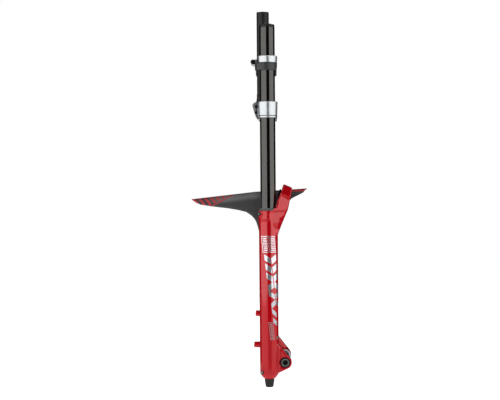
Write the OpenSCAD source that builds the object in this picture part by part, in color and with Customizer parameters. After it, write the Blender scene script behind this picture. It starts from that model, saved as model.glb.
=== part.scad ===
// Dual-crown downhill suspension fork.
// Origin: on the steerer axis, level with the crown race seat.
// +X forward, +Y to the rider's left, +Z up along the steerer. Millimetres.

/* [Overall] */
// Distance from the wheel axle up to the crown race seat
axle_to_crown = 602; // [600:1:606]
// How far the wheel axle lies ahead of the steerer axis
fork_offset = 46; // [44:1:48]
// Distance between the two leg axes
leg_spacing = 152; // [150:1:154]
// How far the leg axes lie ahead of the steerer axis
leg_forward = 10; // [9:1:11]
// Suspension travel
travel = 200; // [160:10:200]

/* [Stanchions] */
// Stanchion outside diameter
stanchion_d = 35; // [35:1:35]
// Stanchion wall thickness
stanchion_wall = 2; // [1.5:0.1:2.5]
// Height of the stanchion tops above the race seat
stanchion_top = 157; // [140:1:160]

/* [Steerer] */
// Steerer outside diameter
steerer_d = 28.6; // [28.6:0.1:28.6]
// Steerer wall thickness
steerer_wall = 2.3; // [2:0.1:3]
// Race seat diameter
race_d = 30; // [30:0.1:30]
// Height of the steerer top above the race seat
steerer_top = 201; // [180:1:210]

/* [Crowns] */
// Height of the upper crown's underside above the race seat
upper_crown_z = 76.25; // [76:0.25:80]
// Upper crown thickness
upper_crown_h = 15.5; // [14:0.5:16]
// Drop from the race seat to the top of the lower clamps
lower_clamp_drop = 11.5; // [11:0.1:12]
// Height of the lower clamps
lower_clamp_h = 36.8; // [36:0.2:37]
// Clamp outside diameter at its top
clamp_d = 46; // [45:0.5:46]

/* [Lowers] */
// Outside diameter of the lower legs
leg_d = 42.8; // [42:0.2:43]
// Height of the leg tops above the axle
leg_top = 344.7; // [344:0.1:345]
// Width of the wheel hub between the dropouts
hub_w = 110; // [110:1:110]
// Axle diameter
axle_d = 20; // [20:1:20]
// Spacing of the two brake caliper holes
caliper_spacing = 74.2; // [74.2:0.1:74.2]

/* [Fits] */
// Radial running clearance of sliding and turning pieces
run_gap = 0.05; // [0.04:0.01:0.08]
// Gap between neighbouring pieces that only pass each other
free_gap = 0.3; // [0.3:0.1:0.4]

/* [Hidden] */
$fn = 96;

eps = 0.01;
leg_y = leg_spacing / 2;
stanchion_r = stanchion_d / 2;
stanchion_bore = stanchion_r - stanchion_wall;
leg_r = leg_d / 2;
leg_bore = 19;
axle_r = axle_d / 2;
axle_z = -axle_to_crown;
hub_half = hub_w / 2;

// Heights above the axle
leg_floor = -20;
leg_foot = -37.4;
foot_r = 10.75;
stanchion_foot = leg_floor + travel + 10;
seal_head_h = 18;
seal_head_top = stanchion_foot + seal_head_h;
top_out_h = 6;
piston_z = seal_head_top + top_out_h + 1;
piston_h = 18;
shaft_r = 5;
cartridge_r = 13.5;
cartridge_bore = 12.5;
valve_low = piston_z + piston_h + travel + 12;
valve_high = valve_low + 24;
bladder_high = valve_high + 160;

// Wiper and foam pocket at the leg top
pocket_r = 20.2;
pocket_depth = 20;
wiper_depth = 6.5;

// Valve boss near each leg top, turned from straight outboard towards the rear
valve_turn = 53;
valve_z = 337;
valve_face_r = 25;
boss_r = 7.5;
valve_hole_r = 3.6;
button_r = 2.3;
button_travel = 1.2;

// Crown details
clamp_r = clamp_d / 2;
upper_crown_top = upper_crown_z + upper_crown_h;
lower_clamp_top = -lower_clamp_drop;
lower_clamp_foot = lower_clamp_top - lower_clamp_h;
hub_underside = -11.6;
hub_top = -9.4;
hub_r = 23;
press_r = 14.6;
race_h = 10;
slit_w = 1.6;
pinch_head_r = 4.2;
pinch_shank_r = 2.5;
lower_pinch_x = -15.6;
lower_pinch_y = 6.4;
lower_pinch_z = [-23.2, -36.2];
lower_pinch_head_r = 3.2;
lower_pinch_shank_r = 2;
steerer_pinch_x = -23.2;
steerer_pinch_head_r = 5.6;
steerer_pinch_z = 85.5;
stem_bolt_span = [25, 45];
stem_bolt_x = 9.5;
stem_bolt_r = 2.5;
side_bolt_y = 51;

// Caliper bosses
caliper_y = 62;
caliper_low_x = -26.8;
caliper_low_z = 25;
caliper_tilt = 3.16;
caliper_hole_r = 2.5;
caliper_hole_depth = 15;

// Dropouts about the axle, and the axle head
dropout_r = 15;
dropout_top = [-16, 42];
dropout_foot = [-13, -23];
dropout_outer = 88;
axle_head_r = 11.5;
axle_head_depth = 4;
axle_hex = 10;

// Port screw near the right foot, hose guide on the left leg: height and turn
port_z = -21.5;
port_turn = -138;
port_head_r = 4.4;
guide_z = 232;
guide_turn = 90;

// Fender tab on the rear of the arch: a point on the arch's rear face and its slope
fender_tab_x = 36.8;
fender_tab_z = 380.2;
fender_tab_tilt = -68.9;
fender_bolt_y = 31;

// Fender section, and where its two straight lengths meet
fender_t = 2;
fender_half = 52.4;
fender_drop = 97;
fender_power = 3.2;
fender_steps = 14;
fender_knee = [-20, 386.9];
fender_tail_slope = 6.2;
fender_nose_slope = 3.3;

// Top caps and dials, heights above the race seat
cap_flange_h = 6;
high_dial_r = 11;
high_dial_h = 1.5;
low_dial_r = 5.4;
low_dial_h = 2.2;
valve_stem_r = 3.85;
valve_stem_top = stanchion_top + 13;

// Right leg is on the rider's right, at -Y
RIGHT = -1;
LEFT = 1;

module at_leg(side) {
    translate([leg_forward, side * leg_y, 0]) children();
}

module both_legs() {
    at_leg(RIGHT) children();
    at_leg(LEFT) mirror([0, 1, 0]) children();
}

module from_axle() {
    translate([0, 0, axle_z]) children();
}

// Solid of revolution from [radius, height] points
module turned(points) {
    rotate_extrude() polygon(points);
}

// Ring with square edges from z = low to z = high
module ring(outer_r, inner_r, low, high) {
    translate([0, 0, low]) linear_extrude(high - low) difference() {
        circle(r = outer_r);
        circle(r = inner_r);
    }
}

// Plain round bar from z = low to z = high
module bar(r, low, high) {
    translate([0, 0, low]) cylinder(r = r, h = high - low);
}

// Side outline in X and Z, made from y = low to y = high
module side_slab(low, high) {
    translate([0, high, 0]) rotate([90, 0, 0]) linear_extrude(high - low) children();
}

// Front outline in Y and Z, made from x = low to x = high
module front_slab(low, high) {
    translate([low, 0, 0]) rotate([90, 0, 90]) linear_extrude(high - low) children();
}

// Socket-head bolt along +Z: head on top of z = 0, shank below
module socket_bolt(head_r, head_h, shank_r, shank_len, hex) {
    difference() {
        union() {
            turned([[0, 0], [head_r, 0], [head_r, head_h - 0.6], [head_r - 0.6, head_h],
                [0, head_h]]);
            bar(shank_r, -shank_len, eps);
        }
        translate([0, 0, head_h * 0.4]) cylinder(r = hex / 2 / cos(30), h = head_h, $fn = 6);
    }
}

// ---------- Upper unit: steerer, lower crown, stanchions and what is in them ----------

module steerer_tube() {
    color([0.15, 0.15, 0.15])
    difference() {
        turned([[0, hub_underside], [press_r, hub_underside], [press_r, 0], [race_d / 2, 0],
            [race_d / 2, race_h], [steerer_d / 2, race_h + 1], [steerer_d / 2, steerer_top - 0.7],
            [steerer_d / 2 - 0.7, steerer_top], [0, steerer_top]]);
        bar(steerer_d / 2 - steerer_wall, hub_underside - 1, steerer_top + 1);
    }
}

// Front outline of the lower crown: thin over the wheel and deep at the clamps
module lower_crown_front() {
    deep = lower_clamp_foot;
    high = lower_clamp_top;
    half = [[0, hub_top], [30, hub_top], [50, high + 0.5], [56, high],
        [leg_y + clamp_r + 1, high], [leg_y + clamp_r + 1, deep], [leg_y - 22, deep], [50, -40], [42, -29], [32, -21],
        [20, -14.6], [10, hub_underside], [0, hub_underside]];
    polygon(half);
    mirror([1, 0]) polygon(half);
}

// Plan of the bridge between the lower clamps
module lower_crown_plan() {
    circle(r = hub_r);
    half = [[-18, 14], [-10, 50], [-10, leg_y], [24, leg_y], [23, 50], [22, 20], [20, 12], [20, 0],
        [-18, 0]];
    polygon(half);
    mirror([0, 1]) polygon(half);
}

// Rear ears of one lower clamp
module lower_ears() {
    side_slab(-lower_pinch_y, lower_pinch_y) polygon([[0, -13.8], [-14, -14.2], [-20, -14.8],
        [-23.2, -16], [-24.4, -18.5], [-24, -21.5], [-23, -25], [-21, -31], [-18.6, -38],
        [-15.4, -42.5], [-11.6, -46], [-8, lower_clamp_foot], [0, lower_clamp_foot]]);
}

module lower_clamp_body() {
    foot = lower_clamp_foot;
    top = lower_clamp_top;
    turned([[0, foot], [clamp_r - 2.4, foot], [clamp_r - 1.9, foot + 0.6],
        [clamp_r - 1.7, foot + 5.6], [clamp_r - 1.2, foot + 6.2], [clamp_r, top - 1.2],
        [clamp_r - 1, top], [0, top]]);
}

module lower_pinch_holes() {
    for (z = lower_pinch_z) translate([lower_pinch_x - leg_forward, 0, z]) rotate([90, 0, 0]) {
        cylinder(r = lower_pinch_shank_r, h = 3 * lower_pinch_y, center = true);
        translate([0, 0, lower_pinch_y - 2.6]) cylinder(r = lower_pinch_head_r, h = 10);
    }
}

module lower_crown() {
    color([0.9, 0.91, 0.93])
    difference() {
        union() {
            intersection() {
                front_slab(-24, 25) lower_crown_front();
                translate([0, 0, lower_clamp_foot - 1]) linear_extrude(lower_clamp_h + 20)
                    lower_crown_plan();
            }
            // Shoulder under the headset race
            turned([[0, hub_top - 0.5], [hub_r, hub_top - 0.5], [hub_r, hub_top], [19, -7.6],
                [15.9, -5.6], [15.9, 0], [0, 0]]);
            both_legs() lower_clamp_body();
            for (side = [RIGHT, LEFT]) translate([0, side * leg_y, 0]) lower_ears();
        }
        bar(press_r, -20, 1);
        both_legs() {
            bar(stanchion_r, lower_clamp_foot - 1, 1);
            translate([-40, -slit_w / 2, lower_clamp_foot - 1])
                cube([40, slit_w, lower_clamp_h + 2]);
            lower_pinch_holes();
        }
    }
}

module lower_crown_bolts() {
    color([0.1, 0.1, 0.1])
    both_legs() for (z = lower_pinch_z)
        translate([lower_pinch_x - leg_forward, 2.6 - lower_pinch_y, z]) rotate([90, 0, 0])
            socket_bolt(lower_pinch_head_r - 0.1, 2.6, lower_pinch_shank_r, 2 * lower_pinch_y - 4,
                2.6);
}

// Tube with a chamfered top, heights above the race seat
module stanchion() {
    foot = axle_z + stanchion_foot;
    difference() {
        turned([[0, foot], [stanchion_r - 0.6, foot], [stanchion_r, foot + 1.2],
            [stanchion_r, stanchion_top - 0.5], [stanchion_r - 0.5, stanchion_top],
            [0, stanchion_top]]);
        bar(stanchion_bore, foot - 1, stanchion_top + 1);
    }
}

module stanchion_right() {
    color([0.07, 0.07, 0.07]) at_leg(RIGHT) stanchion();
}

module stanchion_left() {
    color([0.07, 0.07, 0.07]) at_leg(LEFT) stanchion();
}

// Eccentric rubber ring that keeps the stanchion off the frame
module frame_bumper() {
    back_shift = 3.25;
    outer_r = 25;
    neck_h = 1.9;
    top = upper_crown_z - free_gap;
    foot = top - 16.6;
    difference() {
        translate([-back_shift, 0, 0]) turned([[0, foot], [outer_r - 1.8, foot],
            [outer_r - 0.6, foot + 1.2], [outer_r, top - neck_h - 0.5],
            [outer_r - 0.5, top - neck_h], [outer_r - 2.4, top - neck_h], [outer_r - 2.4, top],
            [0, top]]);
        bar(stanchion_r, foot - 1, top + 1);
        translate([-40, -0.5, foot - 1]) cube([40, 1, 30]);
        for (z = [foot + 5, foot + 10]) difference() {
            translate([-back_shift, 0, 0]) ring(outer_r + 2, outer_r - 0.9, z, z + 1);
            translate([0, -40, z - 1]) cube([40, 80, 3]);
        }
    }
}

module frame_bumper_right() {
    color([0.3, 0.3, 0.31]) at_leg(RIGHT) frame_bumper();
}

module frame_bumper_left() {
    color([0.3, 0.3, 0.31]) at_leg(LEFT) frame_bumper();
}

// Threaded top cap with wrench notches, bored for what passes through it
module top_cap(bore_r, plug_depth) {
    foot = stanchion_top - plug_depth;
    top = stanchion_top + cap_flange_h;
    difference() {
        turned([[0, foot], [stanchion_bore, foot], [stanchion_bore, stanchion_top],
            [stanchion_r - 0.3, stanchion_top], [stanchion_r - 0.3, top - 0.8],
            [stanchion_r - 1.1, top], [0, top]]);
        bar(bore_r, foot - 1, top + 1);
        for (turn = [0:45:315]) rotate(turn)
            translate([stanchion_r + 0.6, 0, stanchion_top + 3.6]) cylinder(r = 2, h = 5);
    }
}

module damper_top_cap() {
    color([0.08, 0.08, 0.08]) at_leg(RIGHT) top_cap(2.2, 18);
}

module air_top_cap() {
    color([0.08, 0.08, 0.08]) at_leg(LEFT) top_cap(valve_stem_r, 18);
}

module air_valve_stem() {
    color([0.75, 0.75, 0.77]) at_leg(LEFT) difference() {
        turned([[0, stanchion_top - 18], [valve_stem_r, stanchion_top - 18],
            [valve_stem_r, valve_stem_top - 0.6], [valve_stem_r - 0.6, valve_stem_top],
            [0, valve_stem_top]]);
        bar(1.5, stanchion_top - 19, valve_stem_top + 1);
    }
}

// Snap-together plugs under the air cap that take up air volume
module volume_spacers() {
    spacer_h = 18;
    color([0.75, 0.12, 0.1]) at_leg(LEFT) for (i = [0:2]) {
        top = stanchion_top - 18 - i * (spacer_h + 0.5);
        turned([[0, top - spacer_h], [9, top - spacer_h], [10, top - spacer_h + 1], [10, top - 6],
            [13.5, top - 5], [13.5, top - 1], [12.5, top], [0, top]]);
    }
}

module damper_cartridge() {
    color([0.7, 0.7, 0.72]) from_axle() at_leg(RIGHT)
        ring(cartridge_r, cartridge_bore, seal_head_top, valve_high);
}

module compression_valve() {
    cap_foot = axle_to_crown + stanchion_top - 18;
    r = cartridge_bore - run_gap;
    color([0.75, 0.6, 0.2]) from_axle() at_leg(RIGHT) difference() {
        turned([[0, valve_low], [9, valve_low], [9, valve_low + 5], [r, valve_low + 6],
            [r, valve_high - 6], [9, valve_high - 5], [9, valve_high], [4, valve_high],
            [4, cap_foot], [0, cap_foot]]);
        bar(2.2, valve_high - 12, cap_foot + 1);
        for (turn = [0:60:300]) rotate(turn) translate([6.5, 0, valve_low - 1])
            cylinder(r = 1.2, h = 26);
    }
}

module expansion_bladder() {
    color([0.2, 0.2, 0.2]) from_axle() at_leg(RIGHT) difference() {
        turned([[4, valve_high], [12, valve_high], [12, valve_high + 8], [13.6, valve_high + 20],
            [13.6, bladder_high - 20], [12, bladder_high - 8], [12, bladder_high],
            [4, bladder_high]]);
        turned([[4, valve_high + 8], [10.5, valve_high + 8], [12.1, valve_high + 20],
            [12.1, bladder_high - 20], [10.5, bladder_high - 8], [4, bladder_high - 8]]);
    }
}

// Plug that closes the stanchion foot round a shaft
module seal_head() {
    difference() {
        turned([[0, stanchion_foot], [stanchion_bore - 1, stanchion_foot],
            [stanchion_bore, stanchion_foot + 1], [stanchion_bore, seal_head_top - 1],
            [stanchion_bore - 1, seal_head_top], [0, seal_head_top]]);
        bar(shaft_r + run_gap, stanchion_foot - 1, seal_head_top + 1);
    }
}

module damper_seal_head() {
    color([0.72, 0.72, 0.75]) from_axle() at_leg(RIGHT) seal_head();
}

module air_seal_head() {
    color([0.72, 0.72, 0.75]) from_axle() at_leg(LEFT) seal_head();
}

module top_out_bumpers() {
    color([0.15, 0.15, 0.15]) from_axle() both_legs() turned([[6.5, seal_head_top],
        [10.5, seal_head_top], [9, seal_head_top + top_out_h], [7, seal_head_top + top_out_h]]);
}

// ---------- Upper crown, which can be loosened and slid up the tubes ----------

module upper_crown_plan() {
    circle(r = 21);
    half = [[-16, 0], [-16, 12], [-8, 38], [-12, leg_y - 6], [28, leg_y - 6], [30, 38],
        [29, 22], [27, 10], [27, 0]];
    polygon(half);
    mirror([0, 1]) polygon(half);
}

module upper_clamp_body() {
    foot = upper_crown_z;
    top = upper_crown_top;
    turned([[0, foot], [clamp_r - 1.4, foot], [clamp_r - 0.8, foot + 0.8], [clamp_r, top - 1],
        [clamp_r - 1, top], [0, top]]);
}

module steerer_ear_outline() {
    polygon([[0, upper_crown_z], [-19.7, upper_crown_z], [-24.7, 78], [-28, 81.4], [-28.4, 86],
        [-26, 89.6], [-19, upper_crown_top - 1], [0, upper_crown_top - 1]]);
}

module upper_crown() {
    color([0.9, 0.91, 0.93])
    difference() {
        union() {
            translate([0, 0, upper_crown_z]) linear_extrude(upper_crown_h - 0.5)
                upper_crown_plan();
            both_legs() upper_clamp_body();
            side_slab(-8, 8) steerer_ear_outline();
        }
        bar(steerer_d / 2 + run_gap, upper_crown_z - 1, upper_crown_top + 1);
        both_legs() bar(stanchion_r + run_gap, upper_crown_z - 1, upper_crown_top + 1);
        translate([-40, -slit_w / 2, upper_crown_z - 1]) cube([40, slit_w, upper_crown_h + 2]);
        translate([steerer_pinch_x, 0, steerer_pinch_z]) rotate([90, 0, 0]) {
            cylinder(r = pinch_shank_r, h = 40, center = true);
            translate([0, 0, 8]) cylinder(r = steerer_pinch_head_r + 0.2, h = 12);
        }
        for (side = [RIGHT, LEFT]) {
            slit_y = side * (leg_y - 25);
            translate([leg_forward - slit_w / 2, slit_y - 10, upper_crown_z - 1])
                cube([slit_w, 20, upper_crown_h + 2]);
            translate([-20, side * side_bolt_y, steerer_pinch_z + 1.5]) rotate([0, 90, 0]) {
                cylinder(r = pinch_shank_r, h = 42);
                cylinder(r = pinch_head_r, h = 13);
            }
        }
        for (x = [-1, 1], y = [-1, 1])
            translate([stem_bolt_x + x * stem_bolt_span[0] / 2, y * stem_bolt_span[1] / 2,
                upper_crown_z - 1])
                cylinder(r = stem_bolt_r, h = upper_crown_h + 2);
        // Lightening pockets in the underside
        for (side = [RIGHT, LEFT]) translate([leg_forward - 1, side * 33, upper_crown_z - 1])
            cylinder(r = 5.5, h = 9);
    }
}

module upper_crown_bolts() {
    color([0.1, 0.1, 0.1]) for (side = [RIGHT, LEFT])
        translate([-7, side * side_bolt_y, steerer_pinch_z + 1.5]) rotate([0, -90, 0])
            socket_bolt(pinch_head_r, 4.4, pinch_shank_r, 27, 4);
}

module steerer_pinch_bolt() {
    color([0.06, 0.06, 0.06])
    translate([steerer_pinch_x, -8, steerer_pinch_z]) rotate([90, 0, 0])
        socket_bolt(steerer_pinch_head_r, 4.5, pinch_shank_r, 16, 4.5);
}

// ---------- Lowers: one casting and everything that travels with it ----------

module leg_outer() {
    turned([[0, leg_foot], [foot_r, leg_foot], [14.6, -34.8], [17.4, -31.2], [20.3, -27.2],
        [leg_r, -23.4], [leg_r, 319], [leg_r + 1.4, 325], [leg_r + 1.4, leg_top - 2.4],
        [leg_r, leg_top], [0, leg_top]]);
}

// Point where the tangent from [x, z] meets a circle about the origin, on side s
function tangent_angle(p, r, s) = atan2(p[1], p[0]) - s * acos(r / norm(p));
function on_circle(r, a) = [r * cos(a), r * sin(a)];

// Dropout side outline about the axle
module dropout_outline(rise) {
    top = dropout_top + [0, rise];
    polygon([[-36, top[1]], top, on_circle(dropout_r, tangent_angle(top, dropout_r, 1)), [0, 0],
        on_circle(dropout_r, tangent_angle(dropout_foot, dropout_r, -1)), dropout_foot,
        [-36, dropout_foot[1]]]);
    circle(r = dropout_r);
}

module dropout(rise) {
    translate([fork_offset, 0, 0]) {
        side_slab(-dropout_outer, -61) dropout_outline(rise);
        translate([0, -hub_half, 0]) rotate([90, 0, 0]) cylinder(r = 14, h = 10);
    }
}

// Arch side outline, [x, height above the axle]
module arch_side() {
    polygon([[8, 285], [8, 340], [19.3, 345], [25.6, 355.8], [34.9, 375.3], [44, 398.9],
        [44.6, 402.6], [47, 403.4], [63.5, 396.2], [64.9, 393.6], [59.7, 371.4],
        [57.6, 358.5], [54.4, 345.4], [47.9, 329.7], [40.6, 312.9], [32.2, 291.4], [30, 285]]);
}

// Arch front outline, [y, height above the axle]
module arch_front() {
    half = [[0, 404], [70, 404], [76.5, 401], [81, 388], [85, 382], [91, 362], [95.5, 345],
        [leg_y + leg_r, 330], [leg_y + leg_r, 315], [94, 300], [86, 288], [leg_y, 285], [57.5, 285], [57, 330], [55, 352],
        [51.5, 367], [44, 379], [32, 386.5], [16, 391.5], [0, 392.6]];
    polygon(half);
    mirror([1, 0]) polygon(half);
}

module valve_boss() {
    rotate(-90 - valve_turn) translate([10, 0, valve_z]) rotate([0, 90, 0])
        turned([[0, 0], [boss_r, 0], [boss_r, valve_face_r - 11],
            [boss_r - 1, valve_face_r - 10], [0, valve_face_r - 10]]);
}

// Everything below turns about the lower caliper hole's mouth
module caliper_frame() {
    translate([caliper_low_x, caliper_y, caliper_low_z]) rotate([0, caliper_tilt, 0])
        mirror([1, 0, 0]) for (z = [0, caliper_spacing]) translate([0, 0, z]) children();
}

// The frame's own X points out of the hole, so the boss reaches back to the leg along -X
module caliper_boss() {
    rotate([0, -90, 0]) {
        cylinder(r1 = 6.4, r2 = 7, h = 0.6);
        translate([0, 0, 0.6]) cylinder(r = 7, h = 23);
    }
    side_slab(-5.5, 7) polygon([[-3.5, 6.6], [-24, 7], [-24, -7], [-3.5, -6.6]]);
}

module fender_bolt_places() {
    for (side = [RIGHT, LEFT]) translate([fender_tab_x, side * fender_bolt_y, fender_tab_z])
        rotate([0, fender_tab_tilt, 0]) children();
}

module lower_legs() {
    color([0.75, 0.05, 0.08]) from_axle()
    difference() {
        union() {
            both_legs() leg_outer();
            dropout(0);
            mirror([0, 1, 0]) dropout(3);
            intersection() {
                side_slab(-110, 110) arch_side();
                front_slab(0, 80) arch_front();
            }
            both_legs() valve_boss();
            caliper_frame() caliper_boss();
        }
        // Stanchion bores, wiper pockets, and room for the clamps at full travel
        both_legs() {
            bar(leg_bore, leg_floor, leg_top + 80);
            bar(pocket_r, leg_top - pocket_depth, leg_top + 80);
            bar(leg_r + 0.2, leg_top, leg_top + 6);
            bar(clamp_r + 1.6, leg_top + 5.4, leg_top + 80);
            bar(4.2, leg_foot - 1, leg_floor + 1);
            rotate(-90 - valve_turn) translate([0, 0, valve_z]) rotate([0, 90, 0])
                cylinder(r = valve_hole_r, h = 30);
        }
        // Axle bore, open through both dropouts, and the axle head's recess
        translate([fork_offset, 0, 0]) rotate([90, 0, 0]) {
            cylinder(r = axle_r + run_gap, h = 250, center = true);
            translate([0, 0, dropout_outer - axle_head_depth]) cylinder(r = 11.8, h = 10);
        }
        caliper_frame() rotate([0, -90, 0]) translate([0, 0, -1])
            cylinder(r = caliper_hole_r, h = caliper_hole_depth + 1);
        fender_bolt_places() translate([0, 0, -11]) cylinder(r = 2, h = 14);
        at_leg(RIGHT) rotate(port_turn) translate([15, 0, port_z]) rotate([0, 90, 0]) {
            cylinder(r = 2, h = 10);
            translate([0, 0, leg_r - 15.25]) cylinder(r = port_head_r + 0.1, h = 5);
        }
        at_leg(LEFT) rotate(guide_turn) translate([18, 0, guide_z]) rotate([0, 90, 0])
            cylinder(r = 1.6, h = 10);
    }
}

module dust_wiper() {
    low = leg_top - wiper_depth;
    lip_r = stanchion_r + run_gap;
    turned([[18.2, low], [pocket_r, low], [pocket_r, leg_top], [21.1, leg_top],
        [21.1, leg_top + 1.6], [19.4, leg_top + 2.2], [18.5, leg_top + 5], [lip_r, leg_top + 5],
        [lip_r, leg_top + 3.4], [18.6, leg_top + 1], [18.6, leg_top - 2.5],
        [lip_r, leg_top - 4.5], [lip_r, leg_top - 5.5]]);
}

module dust_wiper_right() {
    color([0.25, 0.26, 0.26]) from_axle() at_leg(RIGHT) dust_wiper();
}

module dust_wiper_left() {
    color([0.25, 0.26, 0.26]) from_axle() at_leg(LEFT) dust_wiper();
}

module foam_rings() {
    color([0.3, 0.3, 0.28]) from_axle() both_legs()
        ring(pocket_r, stanchion_r + free_gap, leg_top - pocket_depth, leg_top - wiper_depth - 4);
}

module bushing(low, length) {
    turned([[stanchion_r + run_gap, low], [leg_bore, low], [leg_bore, low + length],
        [stanchion_r + run_gap, low + length]]);
}

module upper_bushings() {
    color([0.3, 0.45, 0.35]) from_axle() both_legs() bushing(leg_top - 45, 22);
}

module lower_bushings() {
    color([0.3, 0.45, 0.35]) from_axle() both_legs() bushing(stanchion_foot + 8, 18);
}

// ---------- Fender: two straight lengths of one arched section, cut to two outlines ----------

// Arched section about the crest, f runs from -1 at one skirt to 1 at the other
function arch_point(f, inset) = let (g = sin(90 * f))
    [(fender_half - inset) * g, -inset - fender_drop * pow(abs(g), fender_power)];

module fender_section() {
    n = fender_steps;
    polygon(concat([for (i = [-n:n]) arch_point(i / n, 0)],
        [for (i = [n:-1:-n]) arch_point(i / n, fender_t)]));
}

module fender_length(low, high, slope) {
    intersection() {
        translate([fender_knee[0], 0, fender_knee[1]]) rotate([0, -slope, 0])
            front_slab(-160, 130) fender_section();
        translate([low, -60, 270]) cube([high - low, 120, 140]);
    }
}

module fender_side() {
    polygon([[-169, 400], [-168, 367.6], [-157, 363.7], [-146, 359], [-120, 354.6], [-83, 350],
        [-57.5, 345.4], [-41, 341], [-33.5, 336], [-28, 332], [-23.6, 327], [-20.4, 322.5],
        [-18, 318], [-15, 309], [-12, 297], [-8, 291], [2, 290], [12, 296], [24, 312],
        [36, 334], [48, 354], [64, 372], [74, 377], [84, 382], [91, 386], [99.5, 391.6],
        [100, 400]]);
}

module fender_plan() {
    half = [[-168, 0], [-167.6, 9], [-164, 17], [-157, 25], [-146, 33], [-120, 43], [-83, 51],
        [-57, 54], [60, 54], [75, 43], [90, 26], [97, 13], [99.5, 0]];
    polygon(half);
    mirror([0, 1]) polygon(half);
}

// Saddle plate that lies on the rear face of the arch
module fender_saddle() {
    side_slab(-40, 40) polygon([[43.2, 398.6], [34.1, 375], [33.6, 373.7], [31.2, 374.5],
        [31.7, 375.8], [40.9, 399.4]]);
}

module fender() {
    color([0.16, 0.16, 0.17]) from_axle() difference() {
        union() {
            intersection() {
                union() {
                    fender_length(-170, fender_knee[0], fender_tail_slope);
                    fender_length(fender_knee[0], 101, fender_nose_slope);
                }
                side_slab(-60, 60) fender_side();
                translate([0, 0, 270]) linear_extrude(140) fender_plan();
            }
            fender_saddle();
        }
        fender_bolt_places() translate([0, 0, -5]) cylinder(r = 2.1, h = 20);
    }
}

module fender_bolts() {
    color([0.1, 0.1, 0.1]) from_axle() fender_bolt_places()
        translate([0, 0, 3.2]) socket_bolt(3.8, 2.2, 2, 12, 2.5);
}

// Clip on the outside of the left leg that holds the brake hose
module hose_guide() {
    color([0.08, 0.08, 0.08]) from_axle() at_leg(LEFT) rotate(guide_turn) difference() {
        union() {
            translate([leg_r - 1.5, -6, guide_z - 9]) cube([4.5, 12, 18]);
            translate([leg_r + 4.4, 8, guide_z - 9]) cylinder(r = 4.6, h = 18);
            translate([leg_r + 0.6, 0, guide_z - 9]) cube([2.4, 8, 18]);
        }
        translate([0, 0, guide_z - 10]) cylinder(r = leg_r, h = 20);
        translate([leg_r + 4.4, 8, guide_z - 10]) cylinder(r = 2.7, h = 20);
        translate([leg_r + 4.4, 6.4, guide_z - 10]) cube([6, 3.2, 20]);
        translate([0, 0, guide_z]) rotate([0, 90, 0]) cylinder(r = 1.6, h = 40);
    }
}

module hose_guide_bolt() {
    color([0.1, 0.1, 0.1]) from_axle() at_leg(LEFT) rotate(guide_turn)
        translate([leg_r + 3, 0, guide_z]) rotate([0, 90, 0]) socket_bolt(2.9, 1.8, 1.6, 6.2, 2);
}

// Hollow damper shaft from the leg floor up into the piston
module damper_shaft() {
    top = piston_z + piston_h + 2;
    color([0.8, 0.8, 0.82]) from_axle() at_leg(RIGHT) difference() {
        turned([[0, leg_floor], [shaft_r, leg_floor], [shaft_r, top - 1], [shaft_r - 1, top],
            [0, top]]);
        bar(1.8, leg_floor - 1, top + 1);
        bar(3.9, leg_floor - 1, leg_floor + 12);
    }
}

module rebound_piston() {
    color([0.75, 0.6, 0.2]) from_axle() at_leg(RIGHT) difference() {
        ring(cartridge_bore - run_gap, shaft_r, piston_z, piston_z + piston_h);
        for (turn = [0:60:300]) rotate(turn) translate([9, 0, piston_z - 1])
            cylinder(r = 1.5, h = piston_h + 2);
        ring(cartridge_r, cartridge_bore - 1.2, piston_z + 6, piston_z + 12);
    }
}

module air_shaft() {
    top = piston_z + piston_h;
    color([0.8, 0.8, 0.82]) from_axle() at_leg(LEFT) difference() {
        turned([[0, leg_floor], [shaft_r, leg_floor], [shaft_r, top], [0, top]]);
        bar(3.9, leg_floor - 1, leg_floor + 12);
    }
}

module air_piston() {
    r = stanchion_bore - run_gap;
    color([0.1, 0.1, 0.1]) from_axle() at_leg(LEFT)
        turned([[shaft_r, piston_z], [r - 3, piston_z], [r, piston_z + 4], [r, piston_z + 7],
            [r - 2, piston_z + 7.5], [r - 2, piston_z + 10.5], [r, piston_z + 11],
            [r, piston_z + piston_h], [shaft_r, piston_z + piston_h]]);
}

module bottom_out_bumpers() {
    color([0.15, 0.15, 0.15]) from_axle() both_legs() turned([[shaft_r + 0.2, leg_floor],
        [11, leg_floor], [10, leg_floor + 7], [shaft_r + 1.5, leg_floor + 8.5],
        [shaft_r + 0.2, leg_floor + 8.5]]);
}

// Bolt that holds a shaft down from below the leg
module foot_bolt(hollow_r) {
    head_top = leg_foot - 1;
    difference() {
        union() {
            turned([[0, head_top - 6], [6.4, head_top - 6], [7, head_top - 5.4], [7, head_top],
                [0, head_top]]);
            bar(3.9, head_top - eps, leg_floor + 10);
        }
        translate([0, 0, head_top - 7]) cylinder(r = 2.5 / cos(30), h = 4, $fn = 6);
        if (hollow_r > 0) bar(hollow_r, head_top - 8, leg_floor + 12);
    }
}

module foot_bolt_right() {
    color([0.7, 0.7, 0.72]) from_axle() at_leg(RIGHT) foot_bolt(1.8);
}

module foot_bolt_left() {
    color([0.7, 0.7, 0.72]) from_axle() at_leg(LEFT) foot_bolt(0);
}

module crush_washers() {
    color([0.8, 0.8, 0.8]) from_axle() both_legs() ring(7.6, 3.9, leg_foot - 1, leg_foot);
}

// Threaded body of each pressure relief valve
module relief_valve_housings() {
    color([0.1, 0.1, 0.1]) from_axle() both_legs() rotate(-90 - valve_turn)
        translate([0, 0, valve_z]) rotate([0, 90, 0]) difference() {
            union() {
                bar(valve_hole_r, 20.6, valve_face_r + eps);
                turned([[0, valve_face_r], [4.6, valve_face_r], [4.2, valve_face_r + 1],
                    [0, valve_face_r + 1]]);
            }
            bar(button_r + run_gap, 22, valve_face_r + 3);
            bar(0.8, 20, 23);
        }
}

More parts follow.
